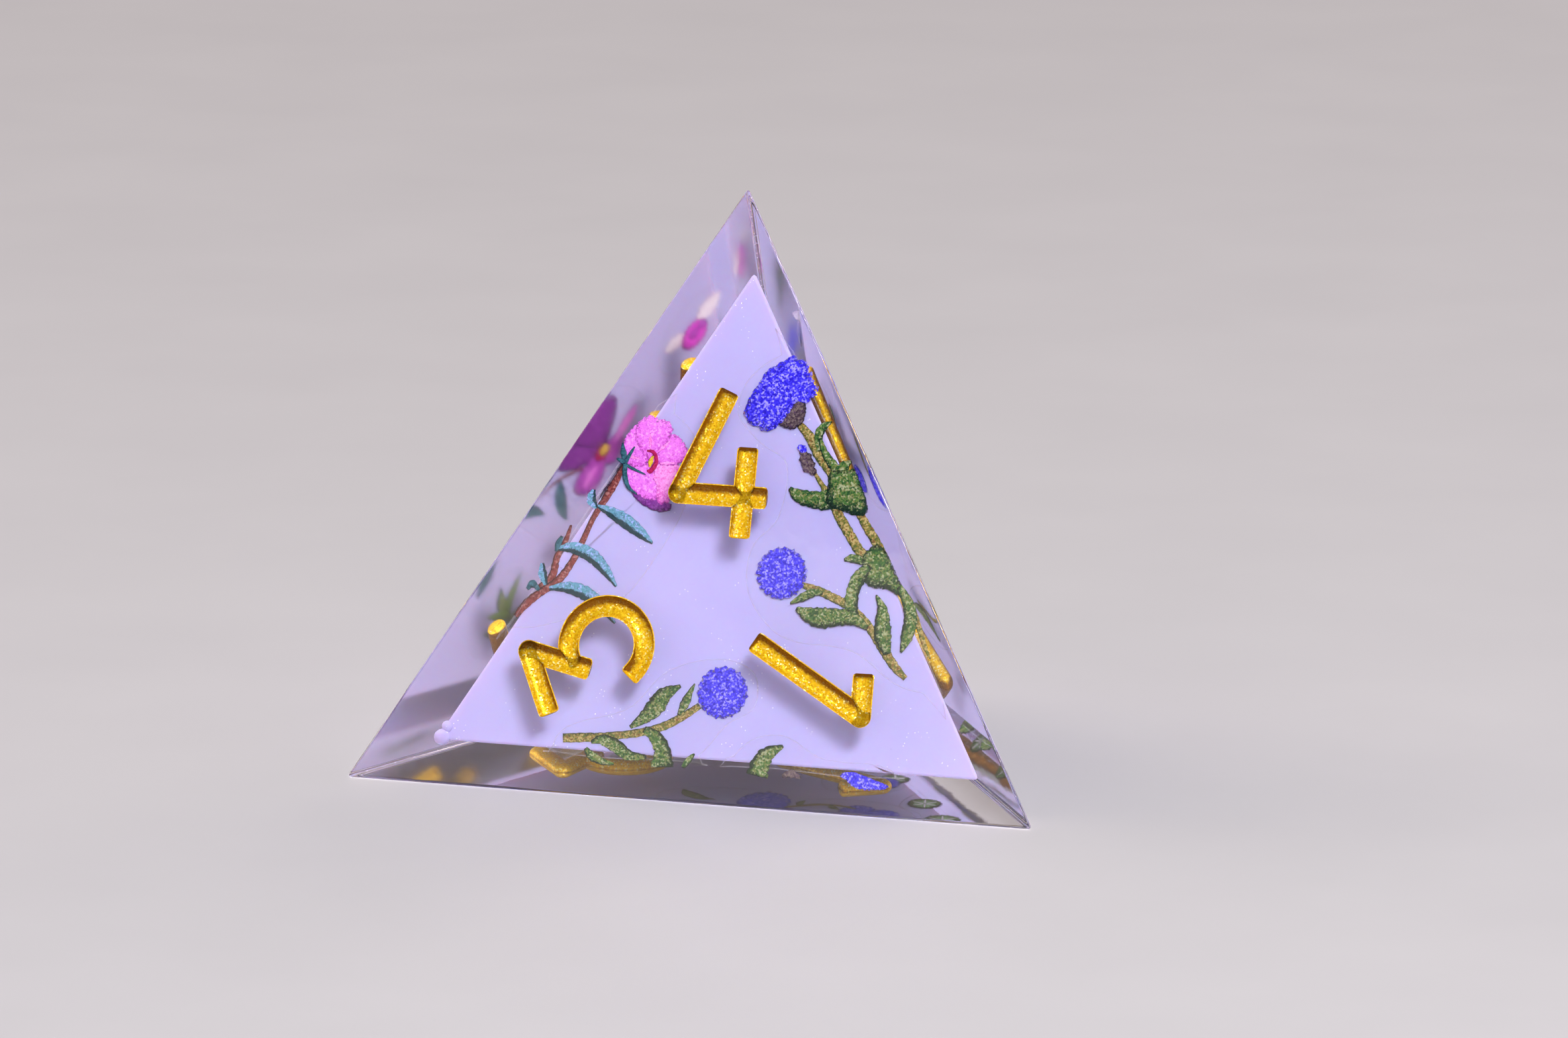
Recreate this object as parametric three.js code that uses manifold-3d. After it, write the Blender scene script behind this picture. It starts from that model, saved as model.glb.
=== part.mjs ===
// A four-sided die of cast resin: a clear tetrahedron around a smaller white one, with printed
// flower films laid on the white core and gilded numerals sunk into the outer faces.
// Millimetres, +Z up. The die rests on its base face at z = 0, its axis on the Z axis,
// and its front face looks towards -Y.

import * as THREE from 'three';
import { ConvexGeometry } from 'three/addons/geometries/ConvexGeometry.js';
import { mergeVertices } from 'three/addons/utils/BufferGeometryUtils.js';
import Module from 'manifold-3d';

const wasm = await Module();
wasm.setup();

// ---- driving dimensions ----

const EDGE = 22; // outer edge length
const CORE_SCALE = 0.795; // core edge over outer edge
const CORE_SHIFT = new THREE.Vector3(0.28, 0.1, 0.08); // the core set slightly off centre
const BEAD_RADIUS = 0.27; // cured drip on one corner of the core
const BEAD_INSET = 0.3; // how far the drip's centre sits in from the corner

const STROKE_WIDTH = 0.65; // numeral stroke
const GROOVE_DEPTH = 0.24;
const INK_THICKNESS = 0.1;
const NUMERAL_FOOT = 2.2; // centre of the face to the numeral's foot, along its own upright
const NUMERAL_HEAD = 6.2; // centre of the face to the numeral's head

const FILM_THICKNESS = 0.08;
const FILM_BORDER = 0.06; // films stop this far inside the core's edges
const CLEARANCE = 0.04; // gap between solids that lie on each other

const ARC_STEP = THREE.MathUtils.degToRad(12); // one facet of a curved stroke
const SPLINE_POINTS_PER_KNOT = 3;

// ---- sizes worked out from them ----

const INRADIUS = EDGE / Math.sqrt(24);
const CORE_INRADIUS = INRADIUS * CORE_SCALE;
const CAVITY_INRADIUS = CORE_INRADIUS + FILM_THICKNESS + 2 * CLEARANCE;
const CENTRE = new THREE.Vector3(0, 0, INRADIUS);
const CORE_CENTRE = CENTRE.clone().add(CORE_SHIFT);
const SPLIT_HEIGHT = CORE_CENTRE.z - CAVITY_INRADIUS; // where the second pour meets the first

// Directions from the centre of a regular tetrahedron to its corners, by the number read there.
const CORNER_DIRECTIONS = {
  4: new THREE.Vector3(0, 0, 3),
  3: new THREE.Vector3(-Math.sqrt(6), -Math.sqrt(2), -1),
  1: new THREE.Vector3(Math.sqrt(6), -Math.sqrt(2), -1),
  2: new THREE.Vector3(0, Math.sqrt(8), -1),
};

// The numbers round each face, anticlockwise from the one at the top as seen from outside.
const FACES = {
  front: [4, 3, 1],
  left: [4, 2, 3],
  right: [4, 1, 2],
  base: [2, 1, 3],
};

// ---- materials ----

function material(color, roughness, metalness = 0) {
  return new THREE.MeshStandardMaterial({ color, roughness, metalness });
}

function clearResin() {
  const resin = material(0xd8d4e2, 0.06);
  resin.transparent = true;
  resin.opacity = 0.35;
  return resin;
}

const whiteResin = () => material(0xeeeaf6, 0.35);
const goldInk = () => material(0xe0a818, 0.3, 0.9);

// ---- solids ----

function toSolid(geometry) {
  const bare = geometry.clone();
  bare.deleteAttribute('normal');
  bare.deleteAttribute('uv');
  const merged = mergeVertices(bare, 1e-5);
  const vertProperties = new Float32Array(merged.attributes.position.array);
  const triVerts = new Uint32Array(merged.index.array);
  return new wasm.Manifold(new wasm.Mesh({ numProp: 3, vertProperties, triVerts }));
}

function toGeometry(solid) {
  const mesh = solid.getMesh();
  const geometry = new THREE.BufferGeometry();
  geometry.setAttribute('position', new THREE.BufferAttribute(mesh.vertProperties, 3));
  geometry.setIndex(new THREE.BufferAttribute(mesh.triVerts, 1));
  geometry.computeVertexNormals();
  return geometry;
}

function join(geometries) {
  return geometries.map(toSolid).reduce((whole, piece) => whole.add(piece));
}

function tetrahedron(centre, inradius) {
  const corners = Object.values(CORNER_DIRECTIONS);
  return new ConvexGeometry(corners.map((way) => way.clone().multiplyScalar(inradius).add(centre)));
}

function slab(bottom, top) {
  const block = new THREE.BoxGeometry(2 * EDGE, 2 * EDGE, top - bottom);
  return block.translate(0, 0, (bottom + top) / 2);
}

// ---- faces ----

// A face's own frame: origin at its centre, X to the right and Y up as seen from outside.
function faceMatrix(face) {
  const corners = FACES[face].map((number) => CORNER_DIRECTIONS[number]);
  const middle = corners.reduce((sum, corner) => sum.add(corner), new THREE.Vector3()).divideScalar(3);
  const up = corners[0].clone().sub(middle).normalize();
  const normal = middle.clone().normalize();
  const right = up.clone().cross(normal);
  const origin = normal.clone().multiplyScalar(INRADIUS).add(CENTRE);
  return new THREE.Matrix4().makeBasis(right, up, normal).setPosition(origin);
}

// How far the core's face lies below the die's face.
function clearLayer(face) {
  const normal = new THREE.Vector3().setFromMatrixColumn(faceMatrix(face), 2);
  return INRADIUS - CORE_INRADIUS - CORE_SHIFT.dot(normal);
}

// The turn that points a numeral's head at the corner where it is read.
function numeralTurn(face, number) {
  return (FACES[face].indexOf(number) * 2 * Math.PI) / 3;
}

// ---- numerals ----

function arcPoints(x, y, radius, fromDegrees, toDegrees) {
  const from = THREE.MathUtils.degToRad(fromDegrees);
  const to = THREE.MathUtils.degToRad(toDegrees);
  const count = Math.ceil(Math.abs(to - from) / ARC_STEP);
  return Array.from({ length: count + 1 }, (_, i) => {
    const angle = from + ((to - from) * i) / count;
    return new THREE.Vector2(x + radius * Math.cos(angle), y + radius * Math.sin(angle));
  });
}

const point = (x, y) => new THREE.Vector2(x, y);

// Centre lines of the strokes, with Y measured from the middle of the face.
const NUMERALS = {
  1: [[point(0.25, NUMERAL_FOOT), point(0.25, NUMERAL_HEAD), point(-0.75, NUMERAL_HEAD - 0.6)]],
  2: [
    [
      ...arcPoints(0, NUMERAL_HEAD - 1.1, 1.1, 165, -38),
      point(-1.05, NUMERAL_FOOT + 0.15),
      point(1.2, NUMERAL_FOOT + 0.15),
    ],
  ],
  3: [
    [point(-0.95, 5.95), point(0.98, 5.78), point(-0.32, 4.36)],
    arcPoints(0.04, 3.47, 1.21, 86, -162),
  ],
  4: [
    [point(0.03, NUMERAL_HEAD), point(-1.22, 3.13), point(1.45, 3.13)],
    [point(0.85, 4.5), point(0.85, NUMERAL_FOOT - 0.2)],
  ],
};

// Outline of a stroke: its centre line offset to both sides, with blunted corners.
function strokeShape(line, width) {
  const side = (sign) =>
    line.map((here, i) => {
      const before = line[Math.max(i - 1, 0)];
      const after = line[Math.min(i + 1, line.length - 1)];
      const into = here.equals(before) ? after.clone().sub(here) : here.clone().sub(before);
      const out = here.equals(after) ? into.clone() : after.clone().sub(here);
      into.normalize();
      out.normalize();
      const across = point(-into.y - out.y, into.x + out.x).normalize();
      const stretch = 1 / Math.max(across.dot(point(-into.y, into.x)), 0.6);
      return here.clone().addScaledVector(across, (sign * stretch * width) / 2);
    });
  return new THREE.Shape([...side(-1), ...side(1).reverse()]);
}

function numeralSolid(number, width, bottom, top) {
  const bars = NUMERALS[number].map((line) => {
    const straight = { depth: top - bottom, bevelEnabled: false };
    return new THREE.ExtrudeGeometry(strokeShape(line, width), straight).translate(0, 0, bottom);
  });
  return join(bars);
}

function cutGrooves(body, faces) {
  for (const face of faces) {
    for (const number of FACES[face]) {
      const groove = toGeometry(numeralSolid(number, STROKE_WIDTH, -GROOVE_DEPTH, GROOVE_DEPTH));
      groove.rotateZ(numeralTurn(face, number)).applyMatrix4(faceMatrix(face));
      body = body.subtract(toSolid(groove));
    }
  }
  return body;
}

function ink(face, number) {
  const bottom = CLEARANCE - GROOVE_DEPTH;
  const fill = numeralSolid(number, STROKE_WIDTH - 2 * CLEARANCE, bottom, bottom + INK_THICKNESS);
  const mesh = new THREE.Mesh(toGeometry(fill), goldInk());
  mesh.name = `ink_${number}_${face}`;
  mesh.rotation.z = numeralTurn(face, number);
  return mesh;
}

// ---- the white core and the clear casting round it ----

function beadGeometry(radius) {
  const corner = CORNER_DIRECTIONS[3].clone().multiplyScalar(CORE_INRADIUS);
  const centre = corner.setLength(corner.length() - BEAD_INSET).add(CORE_CENTRE);
  return new THREE.SphereGeometry(radius, 14, 10).translate(centre.x, centre.y, centre.z);
}

function whiteCore() {
  const core = toSolid(tetrahedron(CORE_CENTRE, CORE_INRADIUS)).add(toSolid(beadGeometry(BEAD_RADIUS)));
  const mesh = new THREE.Mesh(toGeometry(core), whiteResin());
  mesh.name = 'white_core';
  return mesh;
}

// The main pour: three faces and the point, open below where the core went in.
function firstPour() {
  const above = slab(SPLIT_HEIGHT + CLEARANCE, 2 * EDGE);
  const body = toSolid(tetrahedron(CENTRE, INRADIUS))
    .intersect(toSolid(above))
    .subtract(toSolid(tetrahedron(CORE_CENTRE, CAVITY_INRADIUS)))
    .subtract(toSolid(beadGeometry(BEAD_RADIUS + CLEARANCE)));
  const mesh = new THREE.Mesh(toGeometry(cutGrooves(body, ['front', 'left', 'right'])), clearResin());
  mesh.name = 'clear_first_pour';
  return mesh;
}

// The closing pour: the layer that carries the base face.
function secondPour() {
  const below = slab(-EDGE, SPLIT_HEIGHT);
  const body = toSolid(tetrahedron(CENTRE, INRADIUS))
    .intersect(toSolid(below))
    .subtract(toSolid(beadGeometry(BEAD_RADIUS + CLEARANCE)));
  const mesh = new THREE.Mesh(toGeometry(cutGrooves(body, ['base'])), clearResin());
  mesh.name = 'clear_second_pour';
  return mesh;
}

// ---- printed films ----

// Each film is cut round its print, so its outline is a soft closed curve on the core's face.
const FILMS = {
  front: {
    pink_sprig_film: {
      color: 0xd070d0,
      outline: [
        [-1.0, 4.8], [-1.1, 3.0], [-1.9, 1.2], [-2.9, -0.2], [-4.2, -0.8],
        [-6.2, -1.3], [-7.0, -0.8], [-5.4, 2.0], [-3.9, 4.9], [-2.3, 5.8],
      ],
    },
    thistle_branch_film: {
      color: 0x4040d8,
      outline: [
        [1.9, 7.8], [0.5, 6.9], [0.2, 5.8], [1.0, 4.9], [1.9, 4.3], [1.8, 2.6], [1.1, 1.7], [1.1, 0.3],
        [2.3, -1.0], [4.6, -1.3], [6.3, -2.3], [8.0, -2.2], [6.6, 1.0], [4.2, 5.2], [2.9, 7.3],
      ],
    },
    ball_sprig_film: {
      color: 0x4a7a48,
      outline: [
        [0.6, -1.8], [-1.2, -2.3], [-2.3, -3.5], [-4.2, -4.2], [-4.6, -4.8], [-3.6, -5.4],
        [-1.0, -5.4], [0.1, -4.8], [0.9, -3.8], [1.7, -3.2], [1.6, -2.2],
      ],
    },
    edge_sprig_film: {
      color: 0x557a44,
      outline: [
        [2.7, -4.0], [1.7, -4.2], [1.1, -5.0], [1.8, -5.5], [6.4, -5.5], [6.2, -4.8], [4.0, -4.6],
      ],
    },
  },
  left: {
    blossom_film: {
      color: 0xe45ad8,
      outline: [
        [-1.0, 8.2], [-2.0, 7.9], [-2.3, 6.4], [-1.6, 5.2], [-0.3, 5.2], [0.4, 6.3], [0.1, 7.4],
      ],
    },
    pansy_film: {
      color: 0x7a2f98,
      outline: [
        [1.9, 5.3], [0.5, 4.6], [0.2, 3.2], [0.7, 1.6], [1.9, 0.1], [2.9, -0.2],
        [4.6, 0.7], [5.4, 1.2], [4.2, 3.0], [2.9, 5.0],
      ],
    },
    green_sprig_film: {
      color: 0x6f8f28,
      outline: [
        [4.1, -0.8], [3.3, -1.6], [3.2, -2.8], [3.5, -4.1], [4.9, -4.0], [5.6, -2.6], [5.0, -1.3],
      ],
    },
    teal_leaf_film: {
      color: 0x2a4652,
      outline: [[5.7, 0.1], [5.0, -0.5], [5.1, -1.5], [5.9, -2.1], [6.5, -1.4], [6.3, -0.4]],
    },
    rear_sprig_film: {
      color: 0x4f7f78,
      outline: [
        [-2.6, 2.2], [-4.4, 0.2], [-6.2, -3.0], [-5.4, -4.2], [-3.8, -3.4], [-2.6, -1.0], [-1.9, 1.2],
      ],
    },
  },
  right: {
    thistle_pair_film: {
      color: 0x3d38d0,
      outline: [
        [-0.9, 6.5], [-1.9, 5.4], [-3.2, 3.4], [-3.2, 2.2], [-2.0, 1.7], [-0.8, 1.7], [0.5, 2.4], [0.0, 5.2],
      ],
    },
    upper_leaf_film: {
      color: 0x55704a,
      outline: [[1.5, 5.3], [0.8, 4.9], [0.75, 3.9], [1.4, 3.0], [2.4, 3.1], [2.5, 4.3]],
    },
    brown_leaf_film: {
      color: 0x5c4a36,
      outline: [[-3.4, 1.6], [-4.2, 0.9], [-4.2, 0.1], [-3.2, -0.3], [-2.4, 0.0], [-2.6, 1.0]],
    },
    dark_leaf_film: {
      color: 0x4c5a3a,
      outline: [[-4.4, -0.4], [-5.3, -1.2], [-4.8, -2.2], [-3.4, -2.5], [-1.6, -1.6], [-2.2, -0.9]],
    },
    rear_sprig_film: {
      color: 0x53804c,
      outline: [[3.0, 1.6], [1.6, 0.4], [1.2, -1.6], [2.4, -3.4], [4.6, -4.0], [6.0, -3.0], [5.0, -0.6]],
    },
  },
  base: {
    thistle_sprig_film: {
      color: 0x3e3cc8,
      outline: [
        [-1.4, -0.9], [-2.6, -1.4], [-4.4, -1.2], [-5.9, -1.6], [-6.6, -3.0], [-5.4, -3.7],
        [-3.0, -3.6], [-0.8, -3.9], [1.2, -3.3], [1.8, -2.1], [0.8, -1.2],
      ],
    },
    blue_bud_film: {
      color: 0x4542d0,
      outline: [[-3.7, 1.9], [-4.6, 2.1], [-5.6, 1.5], [-5.5, 0.3], [-4.6, -0.5], [-3.3, -0.3], [-2.9, 0.9]],
    },
    round_leaf_film: {
      color: 0x5c8a50,
      outline: [
        [-6.3, 0.4], [-6.9, -0.4], [-7.5, -1.8], [-8.4, -3.6], [-7.2, -3.9], [-6.6, -2.2], [-5.8, -1.4],
      ],
    },
    rear_sprig_film: {
      color: 0x568550,
      outline: [
        [1.2, 6.0], [-0.4, 4.8], [-1.0, 3.2], [0.4, 1.6], [2.6, 0.9], [4.2, 1.4], [3.0, 3.4], [2.2, 5.0],
      ],
    },
  },
};

// The core's face as a triangle in the die face's frame, drawn in by the film border.
function coreFaceShape(face) {
  const toFace = faceMatrix(face).invert();
  const inradius = CORE_INRADIUS - FILM_BORDER;
  const corners = FACES[face].map((number) =>
    CORNER_DIRECTIONS[number].clone().multiplyScalar(inradius).add(CORE_CENTRE).applyMatrix4(toFace),
  );
  return new THREE.Shape(corners.map(({ x, y }) => point(x, y)));
}

function film(face, name, { color, outline }) {
  const knots = outline.map(([x, y]) => new THREE.Vector3(x, y, 0));
  const edge = new THREE.CatmullRomCurve3(knots, true).getPoints(knots.length * SPLINE_POINTS_PER_KNOT);
  edge.pop();
  const sheet = { depth: FILM_THICKNESS, bevelEnabled: false };
  const cut = new THREE.ExtrudeGeometry(new THREE.Shape(edge.map(({ x, y }) => point(x, y))), sheet);
  const limit = new THREE.ExtrudeGeometry(coreFaceShape(face), sheet);
  const mesh = new THREE.Mesh(toGeometry(toSolid(cut).intersect(toSolid(limit))), material(color, 0.4));
  mesh.name = name;
  mesh.position.z = CLEARANCE - clearLayer(face);
  return mesh;
}

// ---- the die ----

function faceGroup(face) {
  const group = new THREE.Group();
  faceMatrix(face).decompose(group.position, group.quaternion, group.scale);
  for (const number of FACES[face]) {
    group.add(ink(face, number));
  }
  for (const [name, sheet] of Object.entries(FILMS[face])) {
    group.add(film(face, `${face}_${name}`, sheet));
  }
  return group;
}

const die = new THREE.Group();
die.add(whiteCore(), firstPour(), secondPour());
for (const face of Object.keys(FACES)) {
  die.add(faceGroup(face));
}

export default die;
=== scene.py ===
"""A hand-cast four-sided die: clear resin round a white core with printed flowers and gilded numerals."""

import math
import random

import bmesh
import bpy
import numpy as np
from mathutils import Matrix, Vector


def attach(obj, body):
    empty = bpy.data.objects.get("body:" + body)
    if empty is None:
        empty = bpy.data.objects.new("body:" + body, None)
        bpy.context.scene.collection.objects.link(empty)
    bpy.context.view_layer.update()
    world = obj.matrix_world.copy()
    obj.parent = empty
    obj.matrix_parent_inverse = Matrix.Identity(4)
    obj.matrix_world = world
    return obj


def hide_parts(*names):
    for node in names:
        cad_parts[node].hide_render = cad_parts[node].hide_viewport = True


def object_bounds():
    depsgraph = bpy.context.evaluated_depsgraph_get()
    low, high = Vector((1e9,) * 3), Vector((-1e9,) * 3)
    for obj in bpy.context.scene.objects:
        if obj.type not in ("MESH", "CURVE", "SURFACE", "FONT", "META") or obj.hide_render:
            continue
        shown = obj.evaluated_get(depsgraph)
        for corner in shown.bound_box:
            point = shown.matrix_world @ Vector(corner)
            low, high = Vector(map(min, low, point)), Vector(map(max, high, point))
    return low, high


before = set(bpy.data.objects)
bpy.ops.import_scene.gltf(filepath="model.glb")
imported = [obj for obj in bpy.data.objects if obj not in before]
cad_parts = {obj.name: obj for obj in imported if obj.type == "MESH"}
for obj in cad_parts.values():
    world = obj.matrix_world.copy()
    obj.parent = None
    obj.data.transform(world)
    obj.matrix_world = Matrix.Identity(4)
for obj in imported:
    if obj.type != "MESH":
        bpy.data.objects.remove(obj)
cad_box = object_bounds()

MM = 0.001  # shapes are worked out in millimetres and put in the scene in metres

# ---- the die's driving sizes, in millimetres ----

EDGE = (cad_box[1][0] - cad_box[0][0]) / MM
INRADIUS = EDGE / math.sqrt(24)
CENTRE = np.array([0.0, 0.0, INRADIUS])
CORE_SCALE = 0.795
CORE_INRADIUS = INRADIUS * CORE_SCALE
CORE_CENTRE = CENTRE + np.array([0.28, 0.10, 0.08])

EDGE_ROUNDING = 0.08
EDGE_CREST = 0.73  # how far the rounded edge lies under the sharp one, as a part of its rounding
NICK_REACH = 0.75  # how far out from the edge a nick's middle lies, as a part of its radius
NICK_GAP = 0.16  # the usual distance between nicks
NICK_SIZES = (0.03, 0.09)
CORE_ROUNDING = 0.09
STROKE_WIDTH = 0.65
GROOVE_DEPTH = 0.23
INK_WALL = 0.022  # the coat of paint in a groove
INK_BITE = 0.012  # how far the paint reaches past the groove's wall, so that no air lies between
INK_DROP = 0.003  # how far the coat's rim lies under the die's face
TOOL_TOP = 1.0  # how far a cutting tool stands out of the face
NUMERAL_FOOT = 2.2
NUMERAL_HEAD = 6.2
FLAT = 0.9999  # how close, as a cosine, a mesh face has to lie to one of the die's faces to be a part of it
RESIN_IOR = 1.52
WET_IOR = 1.05  # for what lies in the resin, which takes nearly all of its gloss away

# Directions from a tetrahedron's centre to its corners, by the number read there, for an inradius of 1.
CORNERS = {
    4: np.array([0.0, 0.0, 3.0]),
    3: np.array([-math.sqrt(6), -math.sqrt(2), -1.0]),
    1: np.array([math.sqrt(6), -math.sqrt(2), -1.0]),
    2: np.array([0.0, math.sqrt(8), -1.0]),
}
# The numbers round each face, anticlockwise from the one at its top as seen from outside.
FACES = {"front": (4, 3, 1), "left": (4, 2, 3), "right": (4, 1, 2), "base": (2, 1, 3)}

# ---- the view and the floor ----

VIEW_AZIMUTH = 17.4  # degrees
VIEW_ELEVATION = 12.54
VIEW_DISTANCE = 300.0  # millimetres, like the two offsets
VIEW_RIGHT = 1.10  # how far to the right of the die's middle the view is aimed, and how far above it
VIEW_UP = 2.95
LENS = 223.0
FLOOR = 3.0  # half the floor's width, in metres
FLOOR_GAP = 0.00002  # metres between the die and the floor, so that the two do not touch


def face_normals():
    middles = [sum(CORNERS[number] for number in numbers) for numbers in FACES.values()]
    return [Vector(middle / np.linalg.norm(middle)) for middle in middles]


# ---- mesh helpers ----

def mesh_of(name, points, faces):
    mesh = bpy.data.meshes.new(name)
    mesh.from_pydata([tuple(p) for p in points], [], faces)
    mesh.validate()
    return mesh


def from_bmesh(name, bm):
    mesh = bpy.data.meshes.new(name)
    bm.to_mesh(mesh)
    bm.free()
    return mesh


def boolean(body, tool, operation):
    """A new mesh: body joined with, cut by or limited to tool."""
    host = bpy.data.objects.new("host", body)
    guest = bpy.data.objects.new("guest", tool)
    for ob in (host, guest):
        bpy.context.scene.collection.objects.link(ob)
    cut = host.modifiers.new("cut", "BOOLEAN")
    cut.object = guest
    cut.operation = operation
    cut.solver = "MANIFOLD"
    graph = bpy.context.evaluated_depsgraph_get()
    result = bpy.data.meshes.new_from_object(host.evaluated_get(graph))
    for ob in (host, guest):
        bpy.data.objects.remove(ob)
    return result


def union(meshes):
    whole = meshes[0]
    for mesh in meshes[1:]:
        whole = boolean(whole, mesh, "UNION")
    return whole


def piece(name, mesh, materials, replaces=(), smooth_angle=None):
    """Puts a mesh made in millimetres in the scene as a piece of the die."""
    mesh.transform(Matrix.Scale(MM, 4))
    mesh.name = name
    which = [face.material_index for face in mesh.polygons]
    mesh.materials.clear()
    for material in materials:
        mesh.materials.append(material)
    mesh.polygons.foreach_set("material_index", which if len(materials) > 1 else [0] * len(which))
    ob = bpy.data.objects.new(name, mesh)
    bpy.context.scene.collection.objects.link(ob)
    if smooth_angle is not None:
        mesh.shade_smooth()
        mesh.set_sharp_from_angle(angle=math.radians(smooth_angle))
        normals = face_normals()
        for face in mesh.polygons:
            face.use_smooth = max(face.normal @ normal for normal in normals) < FLAT
    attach(ob, "root")
    if replaces:
        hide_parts(*replaces)
    return ob


# ---- faces ----

def face_matrix(face, depth=0.0):
    """From a face's own frame, X right and Y up as seen from outside, to the die's, that far under it."""
    corners = [CORNERS[number] for number in FACES[face]]
    middle = sum(corners) / 3
    normal = middle / np.linalg.norm(middle)
    up = (corners[0] - middle) / np.linalg.norm(corners[0] - middle)
    right = np.cross(up, normal)
    origin = CENTRE + normal * (INRADIUS - depth)
    matrix = Matrix.Identity(4)
    for column, vector in enumerate((right, up, normal, origin)):
        for row in range(3):
            matrix[row][column] = vector[row]
    return matrix


def clear_layer(face):
    """How far the core's face lies under the die's."""
    normal = sum(CORNERS[number] for number in FACES[face]) / 3
    normal = normal / np.linalg.norm(normal)
    return INRADIUS - CORE_INRADIUS - float((CORE_CENTRE - CENTRE) @ normal)


def tetrahedron(name, centre, inradius, rounding):
    bm = bmesh.new()
    for number in (4, 3, 1, 2):
        bm.verts.new(centre + CORNERS[number] * inradius)
    bmesh.ops.convex_hull(bm, input=bm.verts[:])
    offset = rounding * math.sqrt(2)  # from an edge to where a rounding of that radius begins
    bmesh.ops.bevel(bm, geom=bm.edges[:], offset=offset, segments=5, profile=0.5, affect="EDGES")
    bmesh.ops.triangulate(bm, faces=[f for f in bm.faces if len(f.verts) > 4])
    bmesh.ops.recalc_face_normals(bm, faces=bm.faces[:])
    return from_bmesh(name, bm)


# ---- numerals ----

def arc(x, y, radius, start, end, step=5.0):
    turns = np.radians(np.linspace(start, end, int(abs(end - start) / step) + 2))
    return np.stack([x + radius * np.cos(turns), y + radius * np.sin(turns)], axis=1)


def line(*points):
    return np.array(points, dtype=float)


# Each numeral's strokes: the centre line, with Y measured from the middle of the face, then how its
# two ends are finished: ROUND where strokes join or SQUARE where they end.
ROUND, SQUARE = "round", "square"
NUMERALS = {
    1: [
        (line((0.25, NUMERAL_FOOT), (0.25, NUMERAL_HEAD)), SQUARE, ROUND),
        (line((0.25, NUMERAL_HEAD), (-0.75, 5.6)), ROUND, SQUARE),
    ],
    2: [
        (np.concatenate([arc(0, 5.1, 1.1, 168, -38), line((-1.05, 2.37))]), SQUARE, ROUND),
        (line((-1.05, 2.37), (1.2, 2.35)), ROUND, SQUARE),
    ],
    3: [
        (line((-0.95, 5.95), (0.98, 5.78)), SQUARE, ROUND),
        (line((0.98, 5.78), (-0.32, 4.36)), ROUND, SQUARE),
        (arc(0.04, 3.47, 1.21, 88, -162), ROUND, SQUARE),
    ],
    4: [
        (line((0.03, NUMERAL_HEAD), (-1.22, 3.13)), SQUARE, ROUND),
        (line((-1.22, 3.13), (1.45, 3.13)), ROUND, SQUARE),
        (line((0.85, 4.5), (0.85, 2.0)), SQUARE, SQUARE),
    ],
}


def resampled(path, step):
    gaps = np.linalg.norm(np.diff(path, axis=0), axis=1)
    reach = np.concatenate([[0], np.cumsum(gaps)])
    places = np.linspace(0, reach[-1], max(int(reach[-1] / step), 8) + 1)
    return np.stack([np.interp(places, reach, path[:, i]) for i in (0, 1)], axis=1), places


def end_size(distance, half_width, kind):
    """How wide a stroke is near its end, as a part of its full width."""
    if kind == ROUND:
        return np.sqrt(np.maximum(1 - (1 - np.clip(distance / half_width, 0, 1)) ** 2, 0.0004))
    near = np.clip(distance / (0.4 * half_width), 0, 1)
    blunt, power = 0.74, 2.4  # the width at the very end, and how square its corners are
    return blunt + (1 - blunt) * (1 - (1 - near) ** power) ** (1 / power)


def trough(stroke, half_width, depth, top, step=0.04):
    """A closed bar with a round bottom along a stroke, its open side at height top."""
    path, first, last = stroke
    reach = {ROUND: half_width, SQUARE: half_width * 0.45}
    ahead = (path[0] - path[1]) / np.linalg.norm(path[0] - path[1])
    behind = (path[-1] - path[-2]) / np.linalg.norm(path[-1] - path[-2])
    path = np.concatenate([[path[0] + ahead * reach[first]], path, [path[-1] + behind * reach[last]]])
    points, places = resampled(path, step)
    along = np.gradient(points, axis=0)
    along /= np.linalg.norm(along, axis=1)[:, None]
    across = np.stack([-along[:, 1], along[:, 0]], axis=1)
    sizes = end_size(places, half_width, first) * end_size(places[-1] - places, half_width, last)
    turns = np.linspace(0, math.pi, 17)
    verts = []
    for centre, side, size in zip(points, across, sizes):
        for turn in (None, *turns, None):
            out = math.cos(turn) if turn is not None else (1 if len(verts) % (len(turns) + 2) == 0 else -1)
            flat = centre + side * out * half_width * size
            verts.append((flat[0], flat[1], top if turn is None else -math.sin(turn) * depth * size))
    ring = len(turns) + 2
    faces = [tuple(range(ring)), tuple(reversed(range(len(verts) - ring, len(verts))))]
    for i in range(len(points) - 1):
        a = i * ring
        for j in range(ring):
            k = (j + 1) % ring
            faces.append((a + j, a + ring + j, a + ring + k, a + k))
    bm = bmesh.new()
    corners = [bm.verts.new(v) for v in verts]
    for face in faces:
        bm.faces.new([corners[i] for i in face])
    bmesh.ops.recalc_face_normals(bm, faces=bm.faces[:])
    return from_bmesh("trough", bm)


def numeral_groove(number):
    half = STROKE_WIDTH / 2
    return union([trough(stroke, half, GROOVE_DEPTH, TOOL_TOP) for stroke in NUMERALS[number]])


def numeral_ink(number):
    """A coat of paint that lines a groove, its upper face hollow."""
    half = STROKE_WIDTH / 2
    strokes = NUMERALS[number]
    outer = union([trough(s, half + INK_BITE, GROOVE_DEPTH + INK_BITE, -INK_DROP) for s in strokes])
    inner = union([trough(s, half - INK_WALL, GROOVE_DEPTH - INK_WALL, TOOL_TOP) for s in strokes])
    return boolean(outer, inner, "DIFFERENCE")


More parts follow.
